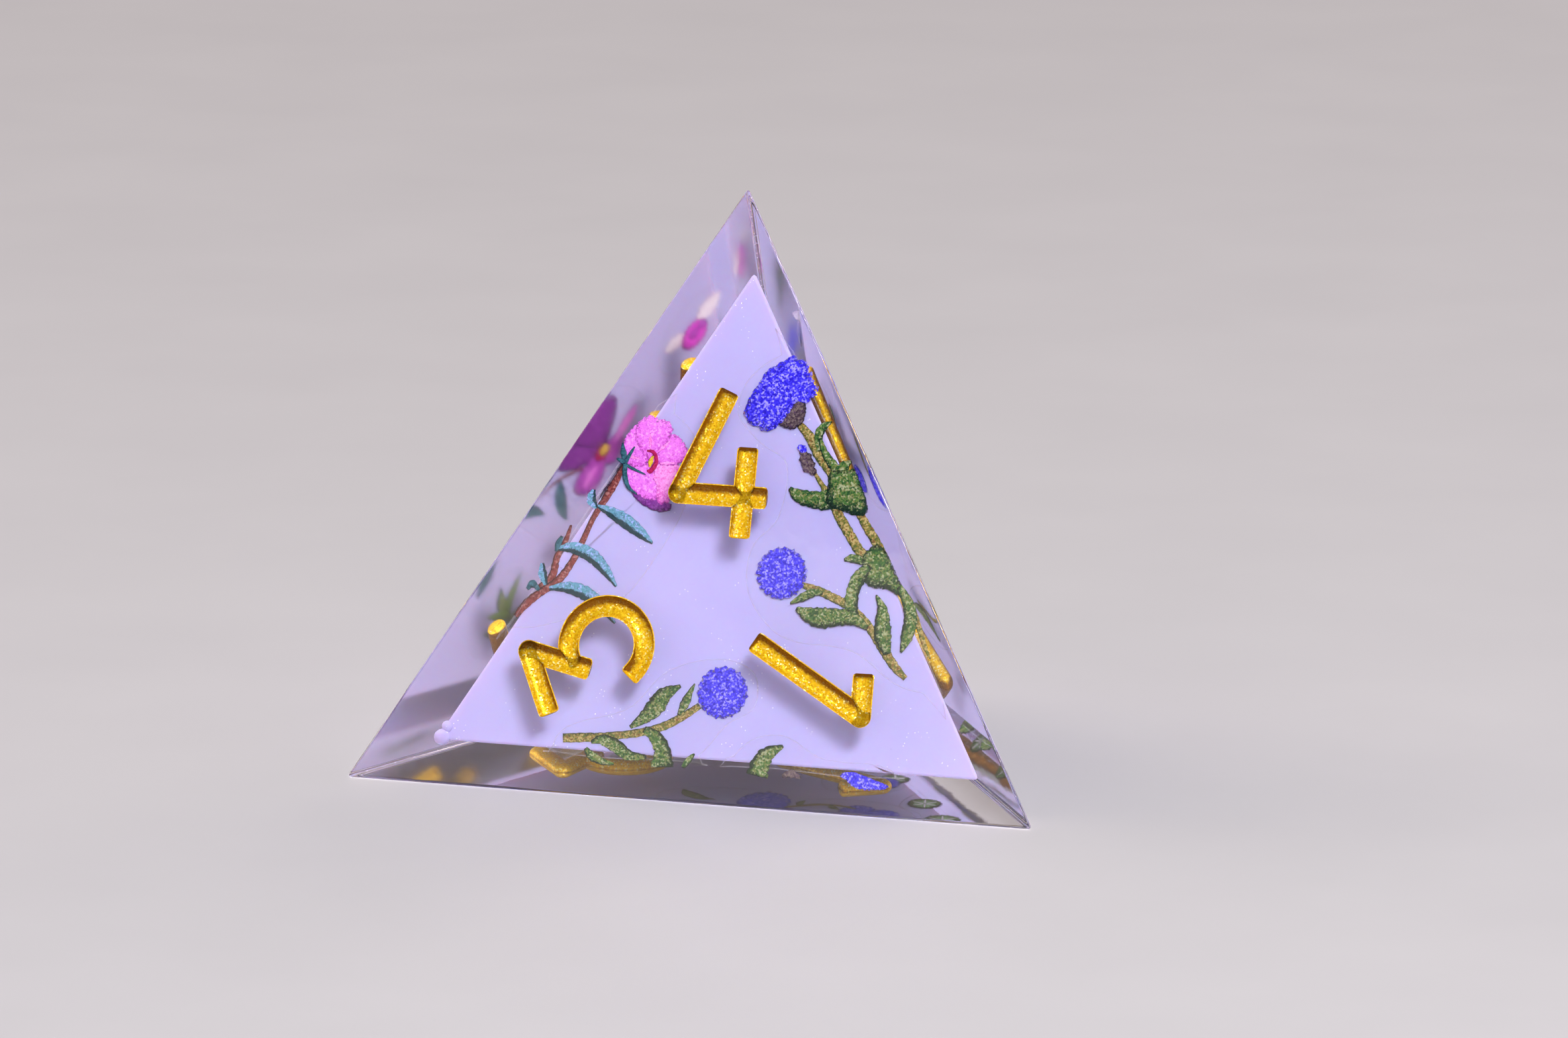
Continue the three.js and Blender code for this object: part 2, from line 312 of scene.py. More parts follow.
def numeral_matrix(face, number):
    turn = FACES[face].index(number) * 2 * math.pi / 3
    return face_matrix(face) @ Matrix.Rotation(turn, 4, "Z")


# ---- printed films ----

def tone(red, green, blue):
    """A linear colour from the usual 0 to 255 numbers."""
    return tuple(((c / 255 + 0.055) / 1.055) ** 2.4 for c in (red, green, blue))


def ink(*tones, dark, lean, edge):
    """The tones that an ink's grains run through, and a dark one, which gathers on the right-hand or lower
    side by lean and round the outline by edge."""
    return dict(tones=[tone(*numbers) for numbers in tones], dark=tone(*dark), lean=lean, edge=edge)


INKS = {
    "blue": ink((34, 22, 190), (52, 42, 232), (66, 56, 240), (160, 154, 252), dark=(20, 8, 130),
        lean=0.1, edge=0.2),
    "leaf": ink((34, 74, 38), (60, 104, 48), (88, 120, 56), (124, 124, 70), (160, 168, 130),
        dark=(8, 40, 28), lean=0.5, edge=0.6),
    "fresh_leaf": ink((78, 112, 40), (98, 132, 48), (118, 150, 66), dark=(40, 74, 30), lean=0.5,
        edge=0.6),
    "pale_leaf": ink((120, 160, 112), (140, 178, 130), (168, 196, 160), dark=(70, 120, 60), lean=0.2,
        edge=0.5),
    "stem": ink((84, 100, 44), (112, 110, 50), (150, 128, 64), (190, 172, 116), (120, 84, 42),
        dark=(44, 60, 26), lean=0.4, edge=0.35),
    "calyx": ink((62, 46, 60), (92, 76, 82), (126, 112, 106), (76, 54, 84), dark=(36, 24, 40),
        lean=0.2, edge=0.5),
    "teal": ink((84, 150, 170), (112, 166, 200), (70, 132, 148), (150, 174, 230), dark=(2, 50, 62),
        lean=2.6, edge=0.35),
    "deep_teal": ink((30, 74, 90), (46, 94, 108), (62, 112, 128), dark=(18, 50, 66), lean=0.5,
        edge=0.5),
    "brick": ink((112, 44, 46), (146, 72, 68), (96, 36, 40), (168, 112, 110), dark=(66, 24, 32),
        lean=0.5, edge=0.6),
    "pink": ink((226, 112, 232), (238, 136, 242), (214, 92, 222), (244, 162, 240), dark=(200, 76, 200),
        lean=0.3, edge=0.35),
    "rose": ink((238, 140, 224), (246, 166, 236), (232, 116, 210), dark=(220, 86, 204), lean=0.3,
        edge=0.35),
    "magenta": ink((222, 60, 216), (236, 84, 226), (206, 44, 196), dark=(150, 24, 150), lean=0.3,
        edge=0.5),
    "plum": ink((130, 52, 152), (112, 40, 134), (150, 72, 172), dark=(76, 22, 96), lean=0.5, edge=0.5),
    "violet": ink((172, 68, 186), (190, 88, 204), (152, 56, 168), dark=(118, 38, 138), lean=0.4,
        edge=0.45),
    "crimson": ink((160, 14, 78), (188, 34, 100), dark=(120, 8, 50), lean=0.2, edge=0.4),
    "yellow": ink((214, 180, 44), (232, 206, 84), (190, 150, 36), dark=(150, 110, 24), lean=0.3,
        edge=0.4),
    "white": ink((238, 232, 244), (228, 214, 238), (244, 240, 248), dark=(206, 178, 214), lean=0.2,
        edge=0.4),
    "umber": ink((84, 70, 48), (108, 90, 60), (66, 56, 42), dark=(40, 34, 28), lean=0.4, edge=0.5),
}

SHEET_LIFT = 0.002
SHEET_THICKNESS = 0.008
SHEET_RIM = 0.05
NEAR_EDGE = 0.12  # where a film comes this close to the core's edge, it hangs over it
OVERHANG = 0.28
PRINT_THICKNESS = 0.0012
PRINT_STEP = 0.002  # each stroke of a print lies that much higher than the one before


def spline(knots, steps, closed=False):
    """Points on a Catmull-Rom curve through the knots, which may carry widths as a third number."""
    k = np.array(knots, dtype=float)
    if closed:
        k = np.concatenate([k[-1:], k, k[:2]])
    else:
        k = np.concatenate([[2 * k[0] - k[1]], k, [2 * k[-1] - k[-2]]])
    points = []
    for a, b, c, d in zip(k, k[1:], k[2:], k[3:]):
        for t in np.arange(steps) / steps:
            bend = (2 * a - 5 * b + 4 * c - d) * t ** 2 + (3 * b - a - 3 * c + d) * t ** 3
            points.append(0.5 * (2 * b + (c - a) * t + bend))
    if not closed:
        points.append(k[-2])
    return np.array(points)


class Print:
    """Gathers the strokes of one printed picture, in its face's frame, as thin closed slabs."""

    def __init__(self):
        self.verts = []
        self.faces = []
        self.shade = []
        self.rim = []
        self.ink_of_face = []
        self.inks = []
        self.height = SHEET_THICKNESS + PRINT_STEP

    def slab(self, rows, ink, side, rim, wrap=False):
        """Adds a slab over rows of points; side and rim say where in the stroke each point is."""
        look = INKS[ink]
        if ink not in self.inks:
            self.inks.append(ink)
        n, m = rows.shape[:2]
        shade = np.clip(-0.5 * look["lean"] * side + look["edge"] * rim ** 4, 0, 1).ravel()
        first = len(self.verts)
        for z in (self.height + PRINT_THICKNESS, self.height):
            self.verts += [(x, y, z) for x, y in rows.reshape(-1, 2)]
            self.shade += list(shade)
            self.rim += list(rim.ravel())
        self.height += PRINT_STEP
        under = n * m
        faces = []
        for i in range(n - 1):
            for j in range(m if wrap else m - 1):
                a, b = i * m + j, i * m + (j + 1) % m
                faces.append((a, b, b + m, a + m))
                faces.append((a + under, a + m + under, b + m + under, b + under))
        if wrap:
            ends = [list(range(m)), list(range((n - 1) * m + m - 1, (n - 1) * m - 1, -1))]
            faces += [tuple(reversed(ends[0])), tuple(v + under for v in ends[0])]
            outline = ends[1][::-1]
        else:
            bottom, top = list(range(m)), [(n - 1) * m + j for j in range(m)]
            right, left = [i * m + m - 1 for i in range(n)], [i * m for i in range(n)]
            outline = bottom[:-1] + right[:-1] + top[::-1][:-1] + left[::-1][:-1]
        for a, b in zip(outline, outline[1:] + outline[:1]):
            faces.append((b, a, a + under, b + under))
        self.faces += [tuple(first + v for v in face) for face in faces]
        self.ink_of_face += [self.inks.index(ink)] * len(faces)

    def stroke(self, ink, *knots, ragged=0.05):
        """A leaf, petal or stem: knots of its middle line, each (x, y, width)."""
        line_points = spline(knots, 7)
        width = np.maximum(line_points[:, 2], 0.02)
        centre = line_points[:, :2]
        along = np.gradient(centre, axis=0)
        along /= np.linalg.norm(along, axis=1)[:, None]
        left = np.stack([-along[:, 1], along[:, 0]], axis=1)
        place = np.concatenate([[0], np.cumsum(np.linalg.norm(np.diff(centre, axis=0), axis=1))])
        across = np.linspace(1, -1, 9)
        wobble = 1 + ragged * (np.sin(place * 21 + knots[0][0] * 7) + np.sin(place * 34 + knots[0][1] * 9))
        half = 0.5 * (width * wobble)[:, None]
        rows = centre[:, None, :] + left[:, None, :] * (half * across[None, :])[:, :, None]
        to_end = np.minimum(place, place[-1] - place)
        end = 1 - np.clip(to_end / (0.12 + 0.25 * width.max()), 0, 1)
        rim = np.maximum(np.abs(across)[None, :], end[:, None] * np.ones_like(across)[None, :])
        side = np.ones(len(centre))[:, None] * across[None, :]
        self.slab(rows, ink, side, rim)

    def patch(self, ink, centre, outline, ragged=0.03, steps=10):
        """A head or petal: a closed outline round its centre."""
        edge = spline(outline, steps, closed=True) - np.array(centre)
        turn = np.arctan2(edge[:, 1], edge[:, 0])
        frill = 1 + ragged * (np.sin(turn * 19 + centre[0] * 5) + 0.7 * np.sin(turn * 31 + centre[1] * 3))
        shares = np.linspace(0.04, 1, 9)
        spread = shares[:, None] * (1 + (frill[None, :] - 1) * shares[:, None])
        rows = np.array(centre) + edge[None, :, :] * spread[:, :, None]
        reach = np.linalg.norm(edge, axis=1).max()
        side = (rows[:, :, 1] - centre[1]) / reach
        rim = shares[:, None] * np.ones(len(edge))[None, :]
        if np.cross(edge, np.roll(edge, -1, axis=0)).sum() > 0:
            rows, side, rim = rows[:, ::-1], side[:, ::-1], rim[:, ::-1]
        self.slab(rows, ink, side, rim, wrap=True)

    def ball(self, ink, x, y, radius, ragged=0.035, stretch=1.0):
        turns = np.radians(np.arange(0, 360, 45))
        outline = np.stack([x + radius * np.cos(turns), y + stretch * radius * np.sin(turns)], axis=1)
        self.patch(ink, (x, y), outline, ragged)

    def mesh(self, name):
        mesh = mesh_of(name, self.verts, self.faces)
        for key, values in (("shade", self.shade), ("rim", self.rim)):
            mesh.attributes.new(key, "FLOAT", "POINT").data.foreach_set("value", values)
        mesh.polygons.foreach_set("material_index", self.ink_of_face)
        return mesh


# ---- the pictures ----
# Points are in the face's own frame: millimetres to the right of its middle and up towards its top corner,
# as seen from outside. The third number of a stroke's point is its width there.

def pink_sprig(p):
    """A heath sprig with teal leaves and one pink flower."""
    p.stroke("brick", (-4.75, 1.98, 0.08), (-4.87, 1.5, 0.17), (-5.1, 0.95, 0.22), (-5.2, 0.35, 0.25),
        (-5.6, -0.05, 0.2))
    p.stroke("brick", (-3.24, 3.95, 0.12), (-3.5, 3.35, 0.25), (-3.8, 2.75, 0.23), (-4.08, 2.2, 0.18),
        (-4.35, 1.45, 0.2), (-4.6, 0.85, 0.22), (-4.98, 0.25, 0.26), (-5.5, -0.15, 0.25),
        (-5.9, -0.5, 0.27), (-6.25, -0.95, 0.16))
    p.stroke("teal", (-3.98, 2.62, 0.1), (-3.5, 2.45, 0.34), (-3.0, 2.2, 0.44), (-2.5, 1.88, 0.34),
        (-2.08, 1.58, 0.08))
    p.stroke("teal", (-3.98, 2.55, 0.1), (-4.18, 2.8, 0.32), (-4.14, 3.12, 0.12))
    p.stroke("teal", (-5.08, 1.22, 0.14), (-4.6, 1.28, 0.36), (-4.0, 1.08, 0.43), (-3.5, 0.66, 0.32),
        (-3.1, 0.18, 0.08))
    p.stroke("deep_teal", (-5.0, 1.62, 0.1), (-5.1, 1.38, 0.2), (-5.16, 1.12, 0.08))
    p.stroke("teal", (-5.25, -0.02, 0.12), (-4.7, 0.05, 0.34), (-4.1, -0.08, 0.44), (-3.5, -0.45, 0.34),
        (-3.02, -0.95, 0.08))
    p.stroke("teal", (-5.36, 0.08, 0.12), (-5.5, 0.4, 0.28), (-5.55, 0.75, 0.12))
    p.stroke("deep_teal", (-5.95, -0.1, 0.1), (-5.8, 0.08, 0.24), (-5.55, -0.1, 0.1))
    # the flower: back petals first
    p.stroke("plum", (-3.1, 3.4, 0.08), (-2.6, 2.98, 0.32), (-2.0, 2.76, 0.4), (-1.6, 2.72, 0.2))
    p.patch("pink", (-2.75, 3.5), [(-2.4, 4.05), (-3.1, 3.95), (-3.24, 3.5), (-2.95, 3.2), (-2.4, 2.92),
        (-1.95, 3.0), (-1.9, 3.4)])
    p.patch("rose", (-1.8, 3.6), [(-2.3, 4.1), (-1.75, 4.25), (-1.46, 3.95), (-1.6, 3.4), (-1.68, 2.9),
        (-2.05, 2.85), (-2.15, 3.4)])
    p.patch("pink", (-1.75, 4.5), [(-2.4, 4.1), (-2.2, 4.75), (-1.75, 4.98), (-1.4, 4.75), (-1.22, 4.4),
        (-1.45, 4.1), (-1.85, 4.0)])
    p.patch("pink", (-3.0, 4.5), [(-2.45, 4.1), (-2.6, 4.9), (-2.95, 5.2), (-3.26, 4.85), (-3.36, 4.4),
        (-3.2, 4.0), (-2.8, 3.9)])
    p.patch("pink", (-2.45, 4.85), [(-2.4, 4.15), (-1.95, 4.7), (-1.8, 5.1), (-1.98, 5.38),
        (-2.3, 5.42), (-2.55, 5.52), (-2.9, 5.3), (-3.0, 4.85), (-2.75, 4.4)])
    creases = ((-2.45, 4.45, 96), (-2.2, 4.4, 45), (-2.12, 4.05, 5), (-2.3, 3.75, -60), (-2.75, 4.15, 170))
    for x, y, turn in creases:
        dx, dy = 0.26 * math.cos(math.radians(turn)), 0.26 * math.sin(math.radians(turn))
        p.stroke("rose", (x, y, 0.03), (x + dx, y + dy, 0.1), (x + 2 * dx, y + 2 * dy, 0.02),
            ragged=0.2)
    p.stroke("crimson", (-2.56, 4.42, 0.05), (-2.34, 4.38, 0.12), (-2.22, 4.1, 0.13),
        (-2.36, 3.82, 0.16), (-2.5, 3.8, 0.05))
    p.stroke("yellow", (-2.34, 4.28, 0.06), (-2.4, 4.1, 0.16), (-2.42, 3.92, 0.07))
    # the calyx
    p.stroke("deep_teal", (-3.36, 4.62, 0.05), (-3.3, 4.3, 0.2), (-3.2, 4.0, 0.16))
    p.stroke("deep_teal", (-2.96, 4.52, 0.05), (-3.1, 4.25, 0.12), (-3.22, 4.0, 0.14))
    p.stroke("deep_teal", (-3.2, 3.96, 0.1), (-2.95, 3.84, 0.09), (-2.52, 3.68, 0.03))
    p.stroke("deep_teal", (-3.22, 4.05, 0.14), (-3.18, 3.6, 0.17), (-3.02, 3.25, 0.12),
        (-2.72, 3.05, 0.04))
    p.stroke("deep_teal", (-3.5, 4.12, 0.05), (-3.34, 4.05, 0.14), (-3.2, 4.0, 0.1))


def thistle_branch(p):
    """A forked thistle stem down the core's right edge, with two blue heads and a small one unopened."""
    p.stroke("stem", (6.4, 0.15, 0.12), (6.6, -0.35, 0.17), (6.85, -0.95, 0.15), (7.08, -1.35, 0.05))
    p.stroke("stem", (4.45, 0.05, 0.2), (4.85, -0.3, 0.26), (5.2, -0.68, 0.28), (5.6, -1.2, 0.3),
        (6.0, -1.68, 0.28), (6.36, -2.0, 0.16))
    p.stroke("stem", (2.7, 0.65, 0.16), (3.3, 0.5, 0.26), (3.9, 0.28, 0.27), (4.4, 0.08, 0.3))
    p.stroke("stem", (3.5, 3.2, 0.24), (3.8, 2.75, 0.32), (4.2, 2.2, 0.32), (4.5, 1.8, 0.32),
        (4.9, 1.45, 0.4))
    p.stroke("stem", (4.35, 3.0, 0.24), (4.7, 2.5, 0.29), (5.0, 2.1, 0.3), (5.3, 1.6, 0.34))
    p.stroke("stem", (2.15, 5.6, 0.2), (2.6, 5.15, 0.32), (2.95, 4.65, 0.38), (3.35, 4.2, 0.38),
        (3.7, 3.7, 0.4))
    p.stroke("stem", (2.82, 4.12, 0.1), (3.1, 3.75, 0.16), (3.4, 3.4, 0.22))
    p.stroke("leaf", (2.95, 4.75, 0.2), (2.86, 5.2, 0.28), (2.98, 5.5, 0.26), (3.24, 5.68, 0.06))
    p.stroke("leaf", (2.9, 5.15, 0.12), (3.15, 4.65, 0.24), (3.55, 4.2, 0.34))
    p.stroke("leaf", (3.6, 3.75, 0.2), (3.62, 4.05, 0.34), (3.75, 4.32, 0.36), (3.98, 4.52, 0.08))
    p.stroke("leaf", (2.1, 3.56, 0.12), (2.4, 3.36, 0.42), (2.85, 3.26, 0.52), (3.4, 3.3, 0.64),
        (4.0, 3.6, 0.5), (4.3, 3.9, 0.1))
    p.patch("leaf", (3.95, 3.6), [(3.35, 4.15), (3.75, 4.22), (4.08, 4.28), (4.34, 3.85), (4.58, 3.35),
        (4.64, 2.95), (4.3, 2.85), (3.9, 2.95), (3.6, 3.02), (3.3, 3.2), (3.3, 3.7)], ragged=0.015)
    p.stroke("leaf", (4.06, 1.48, 0.1), (4.3, 1.54, 0.26), (4.6, 1.5, 0.26), (4.9, 1.4, 0.16))
    p.patch("leaf", (5.15, 1.4), [(4.68, 1.72), (5.05, 2.02), (5.38, 1.78), (5.68, 1.3), (5.98, 0.8),
        (6.25, 0.38), (5.92, 0.48), (5.5, 0.66), (5.0, 0.7), (4.68, 0.95), (4.62, 1.3)], ragged=0.015)
    p.stroke("leaf", (4.6, -0.3, 0.26), (4.44, 0.05, 0.42), (4.44, 0.55, 0.42), (4.6, 1.0, 0.44),
        (4.88, 1.36, 0.2))
    p.stroke("leaf", (5.88, 0.78, 0.2), (6.2, 0.3, 0.36), (6.34, -0.2, 0.42), (6.28, -0.7, 0.4),
        (6.14, -1.22, 0.08))
    p.stroke("leaf", (2.48, 0.03, 0.06), (2.85, 0.24, 0.26), (3.2, 0.42, 0.26), (3.5, 0.42, 0.1))
    p.stroke("leaf", (2.7, -0.1, 0.12), (3.05, -0.25, 0.44), (3.5, -0.34, 0.64), (4.05, -0.28, 0.54),
        (4.55, -0.3, 0.42), (5.02, -0.56, 0.14))
    p.stroke("leaf", (5.18, 0.48, 0.06), (5.4, 0.1, 0.3), (5.47, -0.35, 0.5), (5.53, -0.8, 0.54),
        (5.72, -1.3, 0.24))
    p.stroke("calyx", (2.88, 4.04, 0.14), (2.66, 4.26, 0.4), (2.5, 4.55, 0.36), (2.36, 4.8, 0.12),
        ragged=0.12)
    p.stroke("blue", (2.24, 4.86, 0.1), (2.38, 4.8, 0.26), (2.52, 4.72, 0.08), ragged=0.12)
    p.patch("calyx", (2.02, 5.82), [(1.5, 5.56), (1.95, 5.36), (2.26, 5.52), (2.38, 5.8), (2.34, 6.2),
        (2.05, 6.3), (1.8, 5.95)], ragged=0.03)
    p.patch("blue", (1.5, 6.4), [(1.78, 7.62), (1.4, 7.38), (1.02, 7.12), (0.8, 6.72), (0.6, 6.38),
        (0.42, 5.84), (0.58, 5.5), (0.95, 5.34), (1.22, 5.24), (1.6, 5.5), (1.86, 5.88), (2.1, 6.24),
        (2.4, 6.2), (2.74, 6.6), (2.58, 6.85), (2.4, 7.2), (2.26, 7.46), (2.0, 7.55)], ragged=0.02,
        steps=6)
    p.ball("blue", 2.13, 0.94, 0.8)


def ball_sprig(p):
    """A leafy stem that lies along the bottom edge and ends in a blue head."""
    p.stroke("stem", (-0.05, -3.28, 0.2), (-0.6, -3.68, 0.25), (-1.2, -4.02, 0.26), (-2.0, -4.27, 0.25),
        (-3.0, -4.44, 0.25), (-3.7, -4.52, 0.29), (-4.32, -4.58, 0.28))
    p.stroke("leaf", (-0.72, -2.72, 0.1), (-1.2, -3.02, 0.48), (-1.45, -3.4, 0.6), (-1.75, -3.74, 0.42),
        (-2.2, -4.1, 0.12))
    p.stroke("leaf", (-0.28, -2.62, 0.05), (-0.42, -2.95, 0.2), (-0.53, -3.25, 0.3), (-0.7, -3.62, 0.1))
    p.stroke("leaf", (-1.05, -5.25, 0.74), (-1.1, -4.75, 0.54), (-1.35, -4.35, 0.42),
        (-1.75, -4.12, 0.2))
    p.stroke("leaf", (-1.58, -4.98, 0.14), (-2.15, -4.96, 0.32), (-2.6, -4.7, 0.42),
        (-3.05, -4.54, 0.32), (-3.4, -4.64, 0.1))
    p.stroke("leaf", (-3.56, -4.84, 0.12), (-3.35, -5.05, 0.28), (-3.0, -5.2, 0.22),
        (-2.6, -5.26, 0.08))
    p.stroke("leaf", (-0.4, -5.22, 0.14), (-0.22, -4.95, 0.2), (-0.06, -4.76, 0.05))
    p.ball("blue", 0.63, -2.83, 0.8)


def edge_sprig(p):
    p.stroke("leaf", (2.72, -4.32, 0.1), (2.25, -4.6, 0.48), (2.05, -4.95, 0.62), (1.98, -5.3, 0.7))
    p.stroke("calyx", (2.78, -5.25, 0.1), (3.05, -5.14, 0.26), (3.38, -5.26, 0.08), ragged=0.12)
    p.patch("blue", (5.25, -5.22), [(4.6, -5.05), (5.0, -4.95), (5.57, -5.1), (6.2, -5.34),
        (5.5, -5.47), (5.1, -5.42), (4.8, -5.22)])


def pansy(p):
    """A five-petalled violet flower seen nearly from the front, and the dark leaves below it."""
    p.stroke("brick", (2.3, 2.4, 0.1), (2.9, 2.3, 0.16), (3.5, 2.15, 0.14), (4.3, 1.6, 0.1))
    p.stroke("deep_teal", (3.35, 2.15, 0.1), (3.2, 1.7, 0.42), (2.85, 1.1, 0.44), (2.4, 0.5, 0.1))
    p.stroke("deep_teal", (4.85, 1.05, 0.1), (4.35, 1.22, 0.46), (3.65, 0.98, 0.08))
    p.stroke("deep_teal", (2.35, 1.95, 0.1), (2.2, 1.7, 0.28), (2.05, 1.35, 0.08))
    p.patch("plum", (2.4, 3.7), [(1.7, 2.95), (1.55, 3.8), (1.7, 4.6), (2.1, 5.0), (2.9, 4.7),
        (3.5, 3.9), (3.3, 3.35), (2.6, 3.05)], ragged=0.012)
    p.patch("plum", (2.9, 2.85), [(1.75, 2.95), (2.6, 3.25), (3.6, 3.4), (3.95, 2.9), (3.5, 2.5),
        (2.5, 2.45)], ragged=0.012)
    p.patch("violet", (1.95, 2.05), [(1.6, 2.85), (1.25, 2.3), (1.3, 1.5), (1.8, 1.25), (2.45, 1.5),
        (2.55, 2.1), (2.1, 2.7)], ragged=0.012)
    p.patch("violet", (1.2, 2.75), [(1.6, 2.95), (1.4, 3.35), (1.0, 3.45), (0.75, 2.9), (0.85, 2.3),
        (1.3, 2.3)], ragged=0.012)
    p.stroke("pink", (1.25, 3.05, 0.1), (1.05, 3.5, 0.4), (0.85, 3.95, 0.42), (0.7, 4.35, 0.12))
    p.stroke("pink", (1.7, 2.35, 0.08), (1.9, 2.0, 0.34), (2.05, 1.6, 0.12))
    p.ball("crimson", 1.68, 2.82, 0.33, ragged=0.09)
    p.ball("yellow", 1.62, 2.9, 0.22, ragged=0.05)


def teal_leaf(p):
    p.stroke("deep_teal", (5.35, -0.3, 0.08), (5.55, -1.0, 0.5), (5.7, -1.65, 0.1))


def blossom(p):
    """A small magenta bud between white petals."""
    p.stroke("white", (-1.15, 6.95, 0.3), (-1.3, 7.3, 0.75), (-1.55, 7.65, 0.7), (-1.75, 7.95, 0.1))
    p.stroke("white", (-0.75, 6.5, 0.3), (-0.35, 6.4, 0.6), (-0.05, 6.2, 0.4), (0.1, 6.1, 0.05))
    p.ball("magenta", -1.15, 6.5, 0.58, ragged=0.05)
    p.ball("violet", -1.35, 6.85, 0.2, ragged=0.08)
    p.ball("violet", -1.1, 6.55, 0.22, ragged=0.08)


def green_sprig(p):
    """A tuft of leaves beside the left face's lowest numeral."""
    p.stroke("fresh_leaf", (3.75, -2.9, 0.14), (4.0, -2.5, 0.42), (4.0, -1.8, 0.34), (3.85, -1.1, 0.06))
    p.stroke("leaf", (4.05, -2.6, 0.14), (4.4, -2.1, 0.4), (4.65, -1.5, 0.06))
    p.stroke("fresh_leaf", (3.7, -2.75, 0.14), (4.2, -2.6, 0.42), (4.85, -2.55, 0.08))
    p.stroke("leaf", (3.8, -3.1, 0.1), (3.6, -2.8, 0.34), (3.35, -2.4, 0.06))
    p.stroke("leaf", (3.9, -3.0, 0.12), (4.3, -3.2, 0.38), (4.8, -3.2, 0.06))


def leafy(p, stem, leaf, knots, length, width, gap=9):
    """A stem with a leaf to one side, then one to the other, all the way up."""
    p.stroke(stem, *knots)
    path = spline(knots, 8)
    for count, i in enumerate(range(gap // 2, len(path) - 3, gap)):
        heading = math.atan2(path[i + 1][1] - path[i][1], path[i + 1][0] - path[i][0])
        side = 1 if count % 2 else -1
        first, second = heading + side * math.radians(62), heading + side * math.radians(38)
        mid = path[i][:2] + 0.5 * length * np.array([math.cos(first), math.sin(first)])
        tip = mid + 0.55 * length * np.array([math.cos(second), math.sin(second)])
        p.stroke(leaf, (*path[i][:2], 0.1), (*(0.5 * (path[i][:2] + mid)), 0.8 * width), (*mid, width),
            (*tip, 0.06))


def rear_heath(p):
    leafy(p, "brick", "teal", [(-5.5, -3.8, 0.2), (-4.6, -2.0, 0.24), (-3.6, -0.2, 0.2),
        (-2.5, 1.7, 0.1)], 1.15, 0.4)


def thistle_pair(p):
    p.stroke("stem", (-1.6, 2.2, 0.16), (-1.2, 3.3, 0.2), (-1.0, 4.4, 0.18), (-0.95, 5.5, 0.14))
    p.ball("blue", -2.15, 2.65, 0.76)
    p.ball("blue", -1.05, 5.75, 0.42)
    p.ball("blue", -0.1, 2.3, 0.48)


def upper_leaf(p):
    """A dark leaf, out of focus near the top of the die."""
    p.stroke("leaf", (2.1, 3.3, 0.1), (1.6, 3.55, 0.4), (1.15, 4.0, 0.5), (1.0, 4.6, 0.1))


def brown_leaf(p):
    p.stroke("umber", (-3.0, 1.15, 0.1), (-3.3, 0.7, 0.3), (-3.6, 0.2, 0.56), (-3.65, -0.12, 0.2))


def dark_leaves(p):
    p.stroke("leaf", (-4.2, -0.5, 0.08), (-4.5, -1.2, 0.56), (-4.95, -1.95, 0.1))
    p.stroke("leaf", (-1.9, -1.5, 0.08), (-2.9, -1.6, 0.5), (-3.9, -2.25, 0.1))
    p.stroke("stem", (-4.9, -1.2, 0.08), (-3.9, -1.5, 0.14), (-2.6, -1.2, 0.1))


def rear_thistle(p):
    leafy(p, "stem", "leaf", [(4.4, -3.6, 0.24), (3.9, -2.3, 0.26), (3.1, -1.0, 0.24),
        (2.7, 0.2, 0.16)], 1.2, 0.42)
    p.ball("blue", 2.6, 0.75, 0.62)


def base_thistles(p):
    p.stroke("leaf", (1.1, -1.5, 0.08), (0.8, -1.9, 0.5), (0.35, -2.25, 0.4), (-0.1, -2.3, 0.06))
    p.ball("blue", -1.65, -2.25, 0.85, stretch=1.4)
    p.ball("blue", -4.7, -2.55, 0.6, stretch=1.3)
    p.ball("blue", -5.5, -2.85, 0.62, stretch=1.3)
    leafy(p, "stem", "leaf", [(-2.4, -2.6, 0.16), (-3.2, -2.1, 0.2), (-4.0, -2.0, 0.16),
        (-4.6, -2.2, 0.12)], 0.6, 0.26)


def round_leaf(p, x, y, radius):
    """A nearly round leaf, greener to its edge, with pale veins."""
    p.ball("leaf", x, y, radius, ragged=0.04)
    p.ball("pale_leaf", x, y - 0.1 * radius, 0.7 * radius, ragged=0.05)
    for turn in range(20, 360, 60):
        dx, dy = radius * math.cos(math.radians(turn)), radius * math.sin(math.radians(turn))
        p.stroke("white", (x + 0.1 * dx, y + 0.1 * dy, 0.06), (x + 0.45 * dx, y + 0.45 * dy, 0.06),
            (x + 0.8 * dx, y + 0.8 * dy, 0.03))


def base_bud(p):
    p.stroke("leaf", (-3.6, -0.1, 0.08), (-3.7, 0.5, 0.34), (-4.1, 0.9, 0.1))
    round_leaf(p, -5.1, 1.35, 0.5)
    p.ball("blue", -4.7, 0.75, 0.68)


def round_leaves(p):
    round_leaf(p, -6.55, -1.05, 0.55)
    round_leaf(p, -7.45, -2.75, 0.6)


def rear_sprig(p):
    leafy(p, "stem", "leaf", [(0.3, 1.9, 0.2), (0.5, 3.0, 0.24), (0.9, 4.1, 0.2), (1.3, 5.4, 0.08)],
        1.05, 0.4)
    p.ball("blue", 3.0, 2.0, 0.62)
    p.stroke("stem", (2.6, 2.5, 0.12), (1.8, 3.1, 0.16), (0.8, 3.4, 0.12))


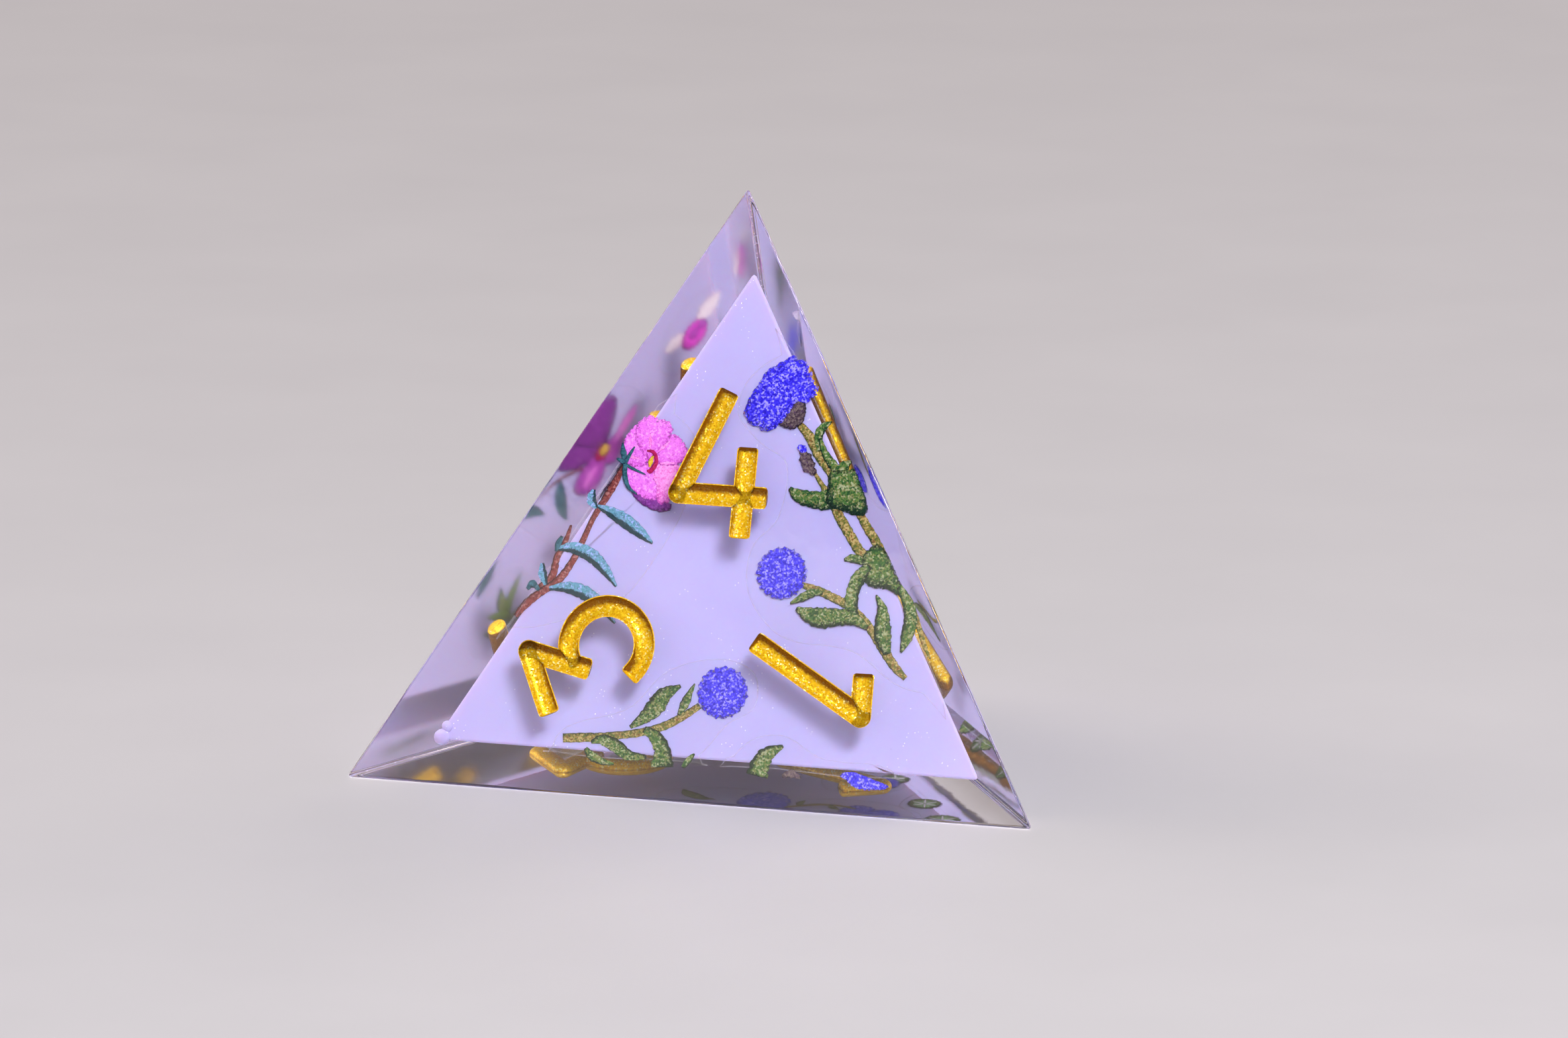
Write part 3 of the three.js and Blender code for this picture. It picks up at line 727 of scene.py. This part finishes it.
# Every film: the face that it lies on, the picture on it and the record's slot for its finish.
FILMS = {
    "front_pink_sprig": ("front", pink_sprig, "film_pink"),
    "front_thistle_branch": ("front", thistle_branch, "film_thistle"),
    "front_ball_sprig": ("front", ball_sprig, "film_thistle"),
    "front_edge_sprig": ("front", edge_sprig, "film_green"),
    "left_blossom": ("left", blossom, "film_pink"),
    "left_pansy": ("left", pansy, "film_purple"),
    "left_green_sprig": ("left", green_sprig, "film_green"),
    "left_teal_leaf": ("left", teal_leaf, "film_teal"),
    "left_rear_sprig": ("left", rear_heath, "film_teal"),
    "right_thistle_pair": ("right", thistle_pair, "film_thistle"),
    "right_upper_leaf": ("right", upper_leaf, "film_green"),
    "right_brown_leaf": ("right", brown_leaf, "film_brown"),
    "right_dark_leaf": ("right", dark_leaves, "film_green"),
    "right_rear_sprig": ("right", rear_thistle, "film_green"),
    "base_thistle_sprig": ("base", base_thistles, "film_thistle"),
    "base_blue_bud": ("base", base_bud, "film_thistle"),
    "base_round_leaf": ("base", round_leaves, "film_green"),
    "base_rear_sprig": ("base", rear_sprig, "film_green"),
}


# ---- materials ----

LEFT_DULLNESS = 0.1  # added to the roughness of the left face
GLINT_CELL = 0.12  # millimetres, like the sizes below
GLINT_RADIUS = 0.13  # as a part of a cell
MOTE_CELL = 0.9
FLAKE_SIZE = 0.045
GRAIN_SIZE = 0.052
SPECK_SIZE = 0.08


class Nodes:
    """A short way to write a node tree: add nodes, link sockets, all by name."""

    def __init__(self, name):
        self.material = bpy.data.materials.new(name)
        self.material.use_nodes = True
        self.tree = self.material.node_tree
        self.tree.nodes.clear()
        self.output = self.tree.nodes.new("ShaderNodeOutputMaterial")

    def add(self, kind, inputs=None, **settings):
        node = self.tree.nodes.new(kind)
        for key, value in settings.items():
            setattr(node, key, value)
        for key, value in (inputs or {}).items():
            if isinstance(value, bpy.types.NodeSocket):
                self.tree.links.new(value, node.inputs[key])
            else:
                node.inputs[key].default_value = value
        return node

    def place(self):
        return self.add("ShaderNodeTexCoord").outputs["Object"]

    def attribute(self, name):
        return self.add("ShaderNodeAttribute", attribute_name=name).outputs["Fac"]

    def noise(self, scale_mm, detail=2.0, roughness=0.5):
        inputs = {"Vector": self.place(), "Scale": 1 / (scale_mm * MM)}
        inputs |= {"Detail": detail, "Roughness": roughness}
        return self.add("ShaderNodeTexNoise", inputs).outputs["Fac"]

    def cells(self, size_mm, output="Color"):
        inputs = {"Vector": self.place(), "Scale": 1 / (size_mm * MM)}
        return self.add("ShaderNodeTexVoronoi", inputs).outputs[output]

    def ramp(self, value, *stops):
        node = self.add("ShaderNodeValToRGB", {"Fac": value})
        ramp = node.color_ramp
        while len(ramp.elements) < len(stops):
            ramp.elements.new(0.5)
        for element, (position, colour) in zip(ramp.elements, stops):
            element.position = position
            element.color = (*colour, 1) if len(colour) == 3 else colour
        return node.outputs["Color"]

    def math(self, operation, *values, **settings):
        node = self.add("ShaderNodeMath", dict(enumerate(values)), operation=operation, **settings)
        return node.outputs[0]

    def mix(self, factor, a, b, blend="MIX"):
        node = self.add("ShaderNodeMix", {0: factor, 6: a, 7: b}, data_type="RGBA", blend_type=blend)
        return node.outputs[2]

    def bump(self, height, distance_mm, strength=1.0):
        inputs = {"Height": height, "Distance": distance_mm * MM, "Strength": strength}
        return self.add("ShaderNodeBump", inputs).outputs["Normal"]

    def principled(self, **inputs):
        return self.add("ShaderNodeBsdfPrincipled", {k.replace("_", " "): v for k, v in inputs.items()})

    def finish(self, shader):
        self.tree.links.new(shader.outputs[0], self.output.inputs["Surface"])
        return self.material


def clear_resin():
    """Clear cast resin, duller on its left face. Light from the lamps passes straight through it."""
    n = Nodes("clear_resin")
    wave = n.noise(2.6, detail=3.0)
    geometry = n.add("ShaderNodeNewGeometry")
    sideways = n.add("ShaderNodeSeparateXYZ", {"Vector": geometry.outputs["True Normal"]}).outputs["X"]
    lean = math.sqrt(2 / 3)  # how far the normals of the left and right faces point sideways
    leftness = n.math("COMPARE", sideways, -lean, 0.05)
    rightness = n.math("COMPARE", sideways, lean, 0.05)
    # Seen from inside, the left face's normal is turned round, and so reads as the right face's.
    dull = n.add("ShaderNodeMix", {0: geometry.outputs["Backfacing"], 2: leftness, 3: rightness}).outputs[0]
    scuffs = n.ramp(n.noise(0.35, detail=6.0, roughness=0.7), (0.5, (0.03,) * 3), (0.8, (0.08,) * 3))
    scuffs = n.math("MULTIPLY_ADD", dull, LEFT_DULLNESS, scuffs)
    glass = n.principled(
        Base_Color=(0.97, 0.962, 0.985, 1), Roughness=scuffs, IOR=RESIN_IOR, Transmission_Weight=1.0,
        Normal=n.bump(wave, 0.004),
    )
    through = n.add("ShaderNodeBsdfTransparent", {"Color": (0.93, 0.92, 0.95, 1)})
    lamp = n.add("ShaderNodeLightPath").outputs["Is Shadow Ray"]
    return n.finish(n.add("ShaderNodeMixShader", {0: lamp, 1: glass.outputs[0], 2: through.outputs[0]}))


def white_resin():
    """Opaque white resin with a lilac cast, a few dark motes, and clusters of painted glints for the
    sparkle of dust and bubbles.
    """
    n = Nodes("white_resin")
    cloud = n.ramp(n.noise(3.0, detail=4.0), (0.3, (0.44, 0.41, 0.76)), (0.7, (0.48, 0.45, 0.80)))
    motes = n.ramp(n.cells(MOTE_CELL, "Distance"), (0.015, (0.35, 0.32, 0.42)), (0.03, (1.0, 1.0, 1.0)))
    colour = n.mix(0.5, cloud, motes, "MULTIPLY")
    # Painted glints: near-white spots in the base colour stand for the sparkle of dust and small bubbles.
    glints = n.math("MULTIPLY", n.math("LESS_THAN", n.cells(GLINT_CELL, "Distance"), GLINT_RADIUS),
                    n.math("GREATER_THAN", n.noise(0.9, detail=3.0), 0.58))
    colour = n.mix(glints, colour, (0.95, 0.95, 1.0, 1))
    return n.finish(n.principled(
        Base_Color=colour, Roughness=0.45, IOR=WET_IOR, Subsurface_Weight=0.3, Subsurface_Scale=1.2 * MM,
        Normal=n.bump(n.noise(0.25, detail=4.0), 0.004),
    ))


def gold_ink():
    """Gilt paint: fine metallic flakes, each turned its own way, with painted shade on the walls that face
    down.
    """
    n = Nodes("gold_ink")
    flakes = n.cells(FLAKE_SIZE)
    parts = n.add("ShaderNodeSeparateColor", {"Color": flakes})
    colour = n.ramp(parts.outputs[0], (0.0, (0.78, 0.40, 0.004)), (0.45, (0.94, 0.55, 0.006)),
                    (0.85, (1.0, 0.68, 0.02)), (1.0, (1.0, 0.92, 0.4)))
    # Painted shade: the colour darkens to brown where the normal points down, as on a groove's upper walls
    # in the shade of its lip.
    facing = n.add("ShaderNodeNewGeometry").outputs["Normal"]
    upward = n.add("ShaderNodeSeparateXYZ", {"Vector": facing}).outputs["Z"]
    upward = n.math("MULTIPLY_ADD", n.noise(0.12, detail=3.0), 0.4, n.math("ADD", upward, -0.2))
    shaded = n.ramp(upward, (0.0, (0.30, 0.19, 0.10)), (0.3, (1.0,) * 3))
    colour = n.mix(1.0, colour, shaded, "MULTIPLY")
    tilt = n.add("ShaderNodeVectorMath", {0: flakes, 1: (-0.5, -0.5, -0.5)}, operation="ADD").outputs[0]
    amount = n.math("MULTIPLY_ADD", n.math("POWER", parts.outputs[2], 6.0), 1.1, 0.16)
    tilt = n.add("ShaderNodeVectorMath", {0: tilt, "Scale": amount}, operation="SCALE").outputs[0]
    normal = n.bump(n.noise(0.2, detail=2.0), 0.006)
    turned = n.add("ShaderNodeVectorMath", {0: normal, 1: tilt}, operation="ADD").outputs[0]
    turned = n.add("ShaderNodeVectorMath", {0: turned}, operation="NORMALIZE").outputs[0]
    return n.finish(n.principled(Base_Color=colour, Metallic=0.35, Roughness=0.35, IOR=1.3, Normal=turned))


def floor_paint():
    """Pale grey, with faint clouds."""
    n = Nodes("pale_floor")
    cloud = n.ramp(n.noise(9.0, detail=3.0), (0.3, (0.60, 0.59, 0.63)), (0.7, (0.62, 0.61, 0.65)))
    return n.finish(n.principled(Base_Color=cloud, Roughness=0.6))


# ---- sheets ----

def cad_outline(node, to_face):
    """The outline of a CAD film in its face's frame, anticlockwise."""
    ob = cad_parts[node]
    bm = bmesh.new()
    bm.from_mesh(ob.data)
    bm.transform(to_face @ Matrix.Scale(1 / MM, 4) @ ob.matrix_world)
    bmesh.ops.remove_doubles(bm, verts=bm.verts[:], dist=1e-4)
    bm.normal_update()
    sides = set()
    for face in bm.faces:
        if face.normal.z > 0.9:
            sides |= {(loop.vert.index, loop.link_loop_next.vert.index) for loop in face.loops}
    onward = {a: b for a, b in sides if (b, a) not in sides}
    places = {v.index: (v.co.x, v.co.y) for v in bm.verts}
    bm.free()
    walk = [min(onward)]
    while onward[walk[-1]] != walk[0]:
        walk.append(onward[walk[-1]])
    return np.array([places[i] for i in walk])


def sheet_outline(node, face):
    """The CAD film's outline smoothed, and pushed past the core's edges where it reaches them."""
    matrix = face_matrix(face, clear_layer(face))
    to_face = matrix.inverted()
    outline = spline(cad_outline(node, to_face), 3, closed=True)
    corners = [to_face @ Vector(CORE_CENTRE + CORNERS[number] * CORE_INRADIUS) for number in FACES[face]]
    for a, b in zip(corners, corners[1:] + corners[:1]):
        along = np.array([b.x - a.x, b.y - a.y]) / (b - a).length
        outward = np.array([along[1], -along[0]])
        inside = -(outline - np.array([a.x, a.y])) @ outward
        travel = outline @ along
        push = OVERHANG * (0.6 + 0.4 * np.sin(travel * 2.3) * np.sin(travel * 0.9 + 1))
        outline = outline + np.where(inside < NEAR_EDGE, push, 0)[:, None] * outward
    return outline


def add_sheet(p, outline):
    """Puts the clear sheet under the print: its rim is marked, so that its cut edge can show."""
    along = np.roll(outline, -1, axis=0) - np.roll(outline, 1, axis=0)
    along /= np.linalg.norm(along, axis=1)[:, None]
    inner = outline + SHEET_RIM * np.stack([-along[:, 1], along[:, 0]], axis=1)
    n = len(outline)
    first = len(p.verts)
    rings = ((inner, SHEET_LIFT, 0.0), (outline, SHEET_LIFT, 1.0), (outline, SHEET_THICKNESS, 1.0),
             (inner, SHEET_THICKNESS, 0.0))
    for ring, z, rim in rings:
        p.verts += [(x, y, z) for x, y in ring]
        p.rim += [rim] * n
        p.shade += [0.0] * n
    faces = [tuple(range(n))[::-1], tuple(range(3 * n, 4 * n))]
    for level in range(3):
        for i in range(n):
            j = (i + 1) % n
            faces.append((level * n + i, level * n + j, (level + 1) * n + j, (level + 1) * n + i))
    p.faces += [tuple(first + v for v in face) for face in faces]
    p.inks.append("sheet")
    p.ink_of_face += [p.inks.index("sheet")] * len(faces)


def film_ink(name):
    """Ink printed in coloured grains, which break up into specks at the edges of a stroke."""
    look = INKS[name]
    n = Nodes(f"ink_{name}")
    cell = n.add("ShaderNodeSeparateColor", {"Color": n.cells(GRAIN_SIZE)}).outputs[0]
    grain = n.math("MULTIPLY_ADD", cell, 0.9, n.math("MULTIPLY_ADD", n.noise(0.14, detail=3.0), 1.3, -0.6))
    tones = look["tones"]
    colour = n.ramp(grain, *[(0.1 + 0.8 * i / (len(tones) - 1), one) for i, one in enumerate(tones)])
    speck = n.noise(SPECK_SIZE, detail=4.0, roughness=0.7)
    dark = n.math("MULTIPLY_ADD", speck, 1.8, n.math("ADD", n.attribute("shade"), -0.85))
    colour = n.mix(n.ramp(dark, (0.15, (0.0,) * 3), (0.45, (1.0,) * 3)), colour, (*look["dark"], 1))
    edge = n.math("MULTIPLY_ADD", speck, 0.9, n.attribute("rim"))
    cover = n.math("SUBTRACT", 1.0, n.math("MULTIPLY", n.math("ADD", edge, -1.36), 6.0, use_clamp=True))
    return n.finish(n.principled(Base_Color=colour, Roughness=0.5, IOR=WET_IOR, Alpha=cover))


def film_sheet():
    """The clear film under the prints: next to nothing, but for its cut edge."""
    n = Nodes("film_sheet")
    dust = n.noise(0.2, detail=4.0)
    rim = n.math("MULTIPLY_ADD", n.attribute("rim"), 0.16, 0.012)
    alpha = n.math("MULTIPLY", rim, n.math("MULTIPLY_ADD", dust, 0.8, 0.6))
    return n.finish(n.principled(Base_Color=(0.62, 0.6, 0.7, 1), Roughness=0.35, IOR=WET_IOR, Alpha=alpha))


def films():
    looks = {"sheet": film_sheet()}
    for name, (face, draw, slot) in FILMS.items():
        p = Print()
        add_sheet(p, sheet_outline(name + "_film", face))
        draw(p)
        for ink in p.inks:
            if ink not in looks:
                looks[ink] = film_ink(ink)
        mesh = p.mesh(name)
        mesh.transform(face_matrix(face, clear_layer(face)))
        piece(name + "_print", mesh, [looks[ink] for ink in p.inks], (name + "_film",))


# ---- the pieces ----

def edge_nicks():
    """Small irregular solids along the die's edges, which cut the nicks that handling leaves there."""
    rng = random.Random(7)
    bm = bmesh.new()
    numbers = list(CORNERS)
    for i, first in enumerate(numbers):
        for second in numbers[i + 1:]:
            a, b = CENTRE + CORNERS[first] * INRADIUS, CENTRE + CORNERS[second] * INRADIUS
            outward = (a + b) / 2 - CENTRE
            outward = outward / np.linalg.norm(outward)
            place = 0.02
            while place < 0.98:
                size = rng.uniform(*NICK_SIZES)
                out = NICK_REACH * size - EDGE_CREST * EDGE_ROUNDING
                centre = a + (b - a) * place + outward * out
                nick = bmesh.ops.create_icosphere(bm, subdivisions=1, radius=size)["verts"]
                for v in nick:
                    v.co = Vector(centre) + v.co * rng.uniform(0.75, 1.0)
                place += (2.2 * size + rng.expovariate(1 / NICK_GAP)) / EDGE
    return from_bmesh("nicks", bm)


def clear_casting():
    body = tetrahedron("clear_casting", CENTRE, INRADIUS, EDGE_ROUNDING)
    body = boolean(body, edge_nicks(), "DIFFERENCE")
    for number in CORNERS:
        groove = numeral_groove(number)
        for face, numbers in FACES.items():
            if number in numbers:
                tool = groove.copy()
                tool.transform(numeral_matrix(face, number))
                body = boolean(body, tool, "DIFFERENCE")
    pours = ("clear_first_pour", "clear_second_pour")
    piece("clear_casting", body, [clear_resin()], pours, smooth_angle=25)


def blob(centre, size, seed, stretch):
    """A small cured drip: a ball pushed slightly out of round."""
    rng = random.Random(seed)
    bm = bmesh.new()
    bmesh.ops.create_icosphere(bm, subdivisions=4, radius=1)
    waves = [[rng.uniform(*span) for span in ((-2, 2), (-2, 2), (-2, 2), (0, 6))] for _ in range(3)]
    for v in bm.verts:
        push = sum(0.07 * math.sin(a * v.co.x + b * v.co.y + c * v.co.z + d) for a, b, c, d in waves)
        v.co = Vector([p * s * size * (1 + push) for p, s in zip(v.co, stretch)]) + Vector(centre)
    return from_bmesh("blob", bm)


# The drips on the core's corner by the 3: how far inwards each lies, its offset, its size and its stretch.
DRIPS = [
    (0.3, (0, 0, 0), 0.27, (1.1, 1, 0.95)),
    (0.32, (0.12, 0.05, 0.3), 0.17, (1, 1, 1)),
]


def white_core():
    core = tetrahedron("white_core_casting", CORE_CENTRE, CORE_INRADIUS, CORE_ROUNDING)
    corner = CORE_CENTRE + CORNERS[3] * CORE_INRADIUS
    inwards = (CORE_CENTRE - corner) / np.linalg.norm(CORE_CENTRE - corner)
    for seed, (depth, offset, size, stretch) in enumerate(DRIPS, 1):
        core = union([core, blob(corner + inwards * depth + np.array(offset), size, seed, stretch)])
    piece("white_core_casting", core, [white_resin()], ("white_core",), smooth_angle=35)


def inks():
    gold = gold_ink()
    for number in CORNERS:
        coat = numeral_ink(number)
        for face, numbers in FACES.items():
            if number in numbers:
                mesh = coat.copy()
                mesh.transform(numeral_matrix(face, number))
                name = f"numeral_{number}_{face}"
                piece(name, mesh, [gold], (f"ink_{number}_{face}",), smooth_angle=40)


# ---- floor, light and camera ----

def floor():
    corners = [(x * FLOOR, y * FLOOR, 0) for x, y in ((-1, -1), (1, -1), (1, 1), (-1, 1))]
    mesh = mesh_of("floor", corners, [(0, 1, 2, 3)])
    mesh.materials.append(floor_paint())
    ob = bpy.data.objects.new("floor", mesh)
    ob.location.z = -FLOOR_GAP
    bpy.context.scene.collection.objects.link(ob)


def lamp(name, direction, distance, size, power, colour=(1, 1, 1)):
    """A soft square lamp that far from the die, looking at it."""
    light = bpy.data.lights.new(name, "AREA")
    light.size = size
    light.energy = power
    light.color = colour
    ob = bpy.data.objects.new(name, light)
    towards = Vector(direction).normalized()
    ob.location = Vector(CENTRE) * MM + towards * distance
    ob.rotation_euler = towards.to_track_quat("Z", "Y").to_euler()
    bpy.context.scene.collection.objects.link(ob)


def light():
    warm = (1.0, 0.86, 0.74)
    lamp("key", (0.40, -0.55, 0.73), distance=0.4, size=0.1, power=1.25)
    lamp("left", (-0.9, 0.1, 0.4), distance=0.5, size=0.35, power=1.3, colour=warm)
    lamp("low_front", (-0.3, -0.95, 0.14), distance=0.5, size=0.3, power=0.4, colour=warm)
    lamp("back", (0.5, 0.8, 0.4), distance=0.5, size=0.35, power=0.9, colour=warm)
    world = bpy.data.worlds.new("studio")
    bpy.context.scene.world = world
    world.use_nodes = True
    background = world.node_tree.nodes["Background"]
    background.inputs["Color"].default_value = (0.84, 0.82, 0.86, 1)
    background.inputs["Strength"].default_value = 0.26
    bpy.context.scene.view_settings.view_transform = "Standard"


def camera():
    azimuth = math.radians(VIEW_AZIMUTH)
    elevation = math.radians(VIEW_ELEVATION)
    level = math.cos(elevation)
    back = Vector((math.sin(azimuth) * level, -math.cos(azimuth) * level, math.sin(elevation)))
    turn = back.to_track_quat("Z", "Y")
    aim = Vector(CENTRE) * MM + turn @ Vector((VIEW_RIGHT, VIEW_UP, 0)) * MM
    data = bpy.data.cameras.new("camera")
    data.sensor_width = 36
    data.lens = LENS
    data.clip_start = 0.01
    ob = bpy.data.objects.new("camera", data)
    ob.location = aim + back * VIEW_DISTANCE * MM
    ob.rotation_euler = turn.to_euler()
    bpy.context.scene.collection.objects.link(ob)
    bpy.context.scene.camera = ob


camera()
light()
floor()
clear_casting()
white_core()
inks()
films()
